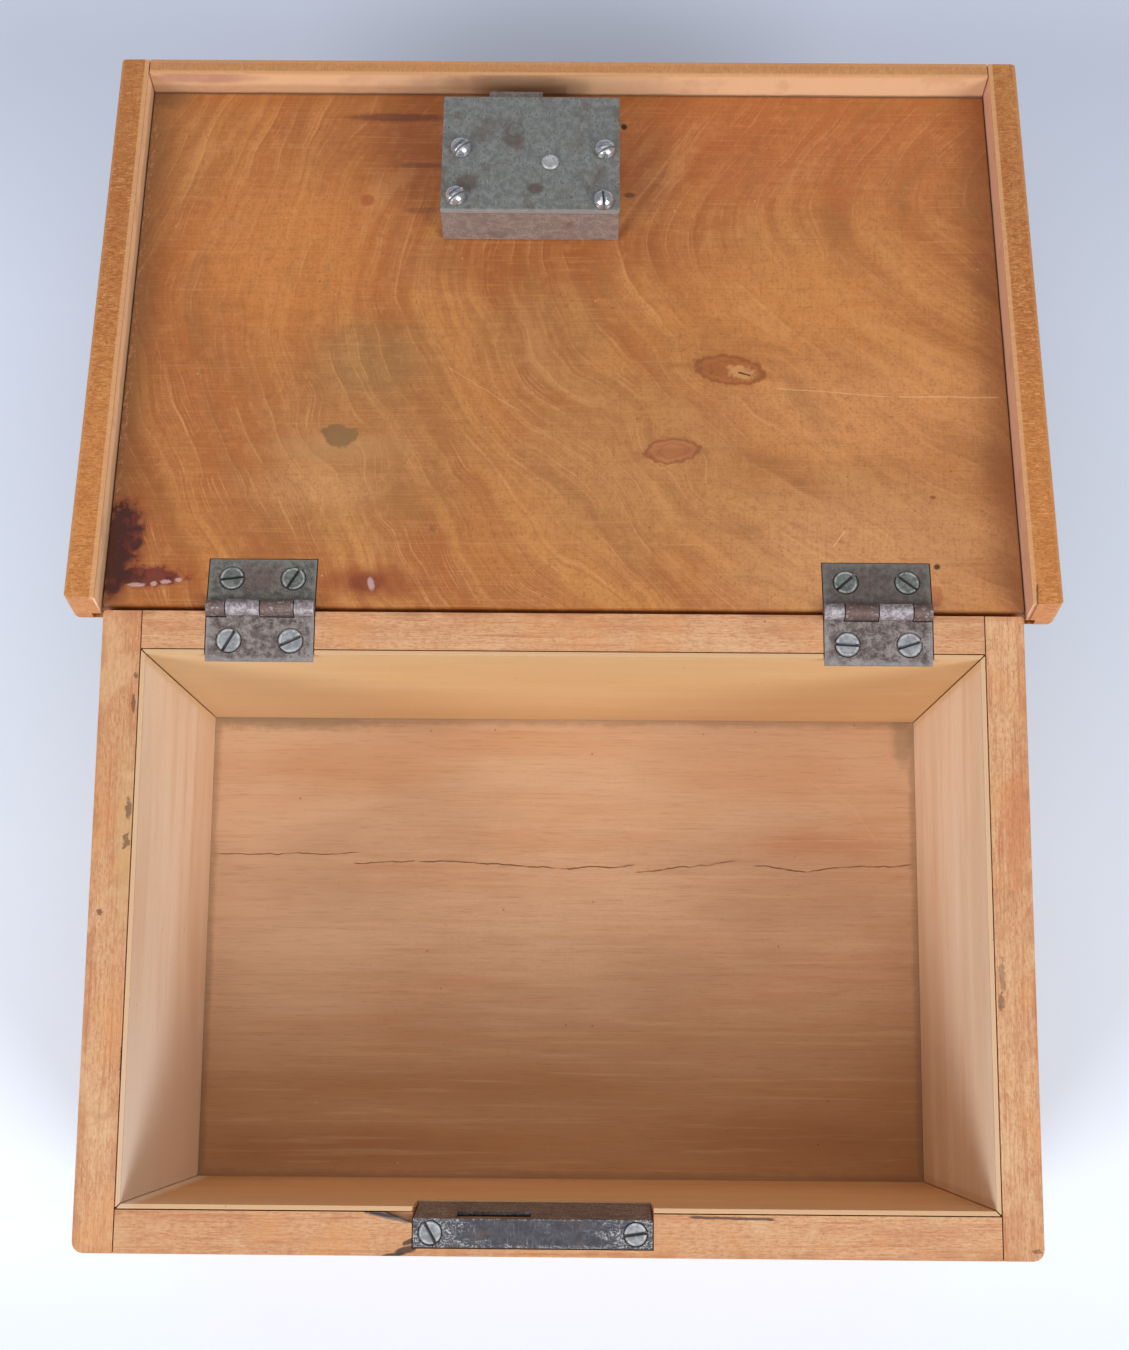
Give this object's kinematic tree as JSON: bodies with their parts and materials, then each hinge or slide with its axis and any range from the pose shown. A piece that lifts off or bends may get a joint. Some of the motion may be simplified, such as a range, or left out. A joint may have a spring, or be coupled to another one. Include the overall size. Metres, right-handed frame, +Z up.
{
  "type": "wooden box",
  "caption": "Rectangular lined wooden box with a hinged lid laid back, side rails that close over the body, and a lock in the lid that throws a bolt into a folded strike plate.",
  "frame": {"origin": "middle of the underside of the body", "axes": "+X to the right, +Y towards the hinges and the open lid, +Z up"},
  "size_m": [0.2744, 0.3517, 0.1296],
  "materials": {
    "wall_wood": "waxed, worn matt on the rim",
    "lining_wood": "dull wax",
    "floor_wood": "dull wax",
    "panel_wood": "worn varnish",
    "rail_wood": "worn varnish",
    "lock_steel": "tarnished",
    "hinge_steel": "tarnished",
    "strike_steel": "rusted and worn",
    "screw_steel": "worn bright"
  },
  "bodies": {
    "box": {"left_wall": "wall_wood", "right_wall": "wall_wood", "front_wall": "wall_wood", "back_wall": "wall_wood", "bottom_board": "floor_wood", "lining_left": "lining_wood", "lining_right": "lining_wood", "lining_front": "lining_wood", "lining_back": "lining_wood", "hinge_leaf_box_left": "hinge_steel", "hinge_leaf_box_right": "hinge_steel", "hinge_pin_left": "hinge_steel", "hinge_pin_right": "hinge_steel", "hinge_screw_box_1": "screw_steel", "hinge_screw_box_2": "screw_steel", "hinge_screw_box_3": "screw_steel", "hinge_screw_box_4": "screw_steel", "strike_plate": "strike_steel", "strike_screw_left": "screw_steel", "strike_screw_right": "screw_steel"},
    "lid": {"lid_panel": "panel_wood", "lid_rail_left": "rail_wood", "lid_rail_right": "rail_wood", "lid_rail_front": "rail_wood", "hinge_leaf_lid_left": "hinge_steel", "hinge_leaf_lid_right": "hinge_steel", "hinge_screw_lid_1": "screw_steel", "hinge_screw_lid_2": "screw_steel", "hinge_screw_lid_3": "screw_steel", "hinge_screw_lid_4": "screw_steel", "lock_case": "lock_steel", "lock_cover": "lock_steel", "drill_pin": "lock_steel", "bolt_guide_post": "lock_steel", "ward_ring": "lock_steel", "bolt_spring": "screw_steel", "lock_screw_1": "screw_steel", "lock_screw_2": "screw_steel", "lock_screw_3": "screw_steel", "lock_screw_4": "screw_steel"},
    "bolt": {"lock_bolt": "lock_steel"}
  },
  "joints": [
    {"name": "lid_hinge", "type": "hinge", "parent": "box", "child": "lid", "pos_m": [0, 0.0874, 0.1203], "axis": [1, 0, 0], "range_deg": [0, 191.4]},
    {"name": "bolt_slide", "type": "slide", "parent": "lid", "child": "bolt", "axis": [0, 0.9803, -0.1976], "range_m": [-0.0078, 0]}
  ]
}
